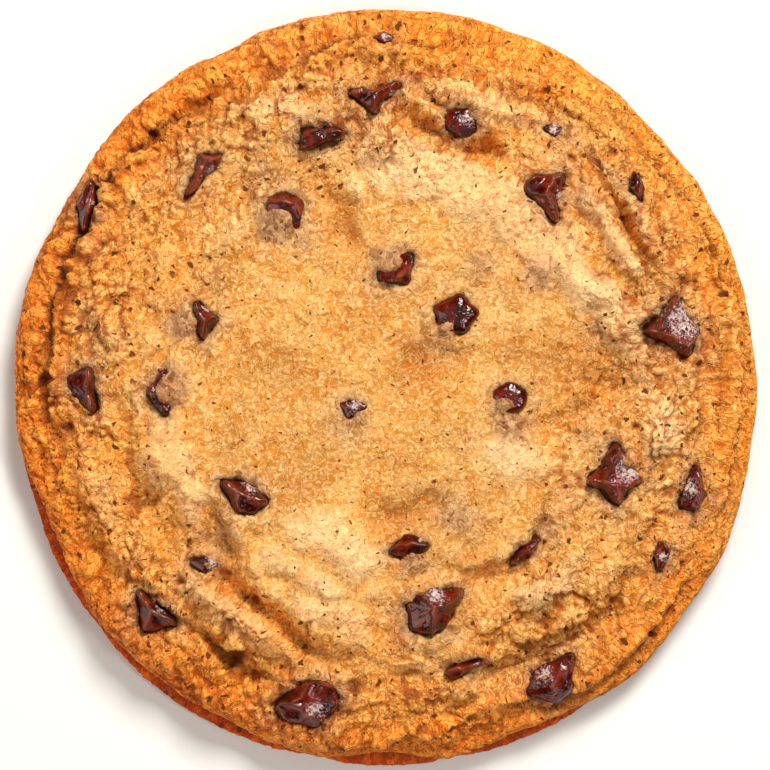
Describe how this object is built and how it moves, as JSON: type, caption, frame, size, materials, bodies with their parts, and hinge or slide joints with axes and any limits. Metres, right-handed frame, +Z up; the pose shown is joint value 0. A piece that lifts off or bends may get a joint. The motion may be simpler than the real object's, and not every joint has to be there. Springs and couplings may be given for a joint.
{
  "type": "chocolate chip cookie",
  "caption": "Round soft-baked biscuit with a domed, cracked and crumbly top, a thin browned foot and melted chocolate chips set into it.",
  "frame": {"origin": "middle of the flat underside, under the middle of the cookie's outline", "axes": "+Z up out of the top crust, +Y towards the far edge of the cookie as pictured, +X to the right"},
  "size_m": [0.0871, 0.0888, 0.0114],
  "materials": {
    "baked_dough": "dry, grainy baked crust, golden in the middle and browner at the rim",
    "chocolate": "dark chocolate, melted and set again, with a soft gloss"
  },
  "bodies": {
    "root": {"dough": "baked_dough", "chip_01": "chocolate", "chip_02": "chocolate", "chip_03": "chocolate", "chip_04": "chocolate", "chip_05": "chocolate", "chip_06": "chocolate", "chip_07": "chocolate", "chip_08": "chocolate", "chip_09": "chocolate", "chip_10": "chocolate", "chip_11": "chocolate", "chip_12": "chocolate", "chip_13": "chocolate", "chip_14": "chocolate", "chip_15": "chocolate", "chip_16": "chocolate", "chip_17": "chocolate", "chip_18": "chocolate", "chip_19": "chocolate", "chip_20": "chocolate", "chip_21": "chocolate", "chip_22": "chocolate", "chip_23": "chocolate", "chip_24": "chocolate", "chip_25": "chocolate", "chip_26": "chocolate", "chip_27": "chocolate", "chip_28": "chocolate", "chip_29": "chocolate", "chip_30": "chocolate"}
  },
  "joints": []
}
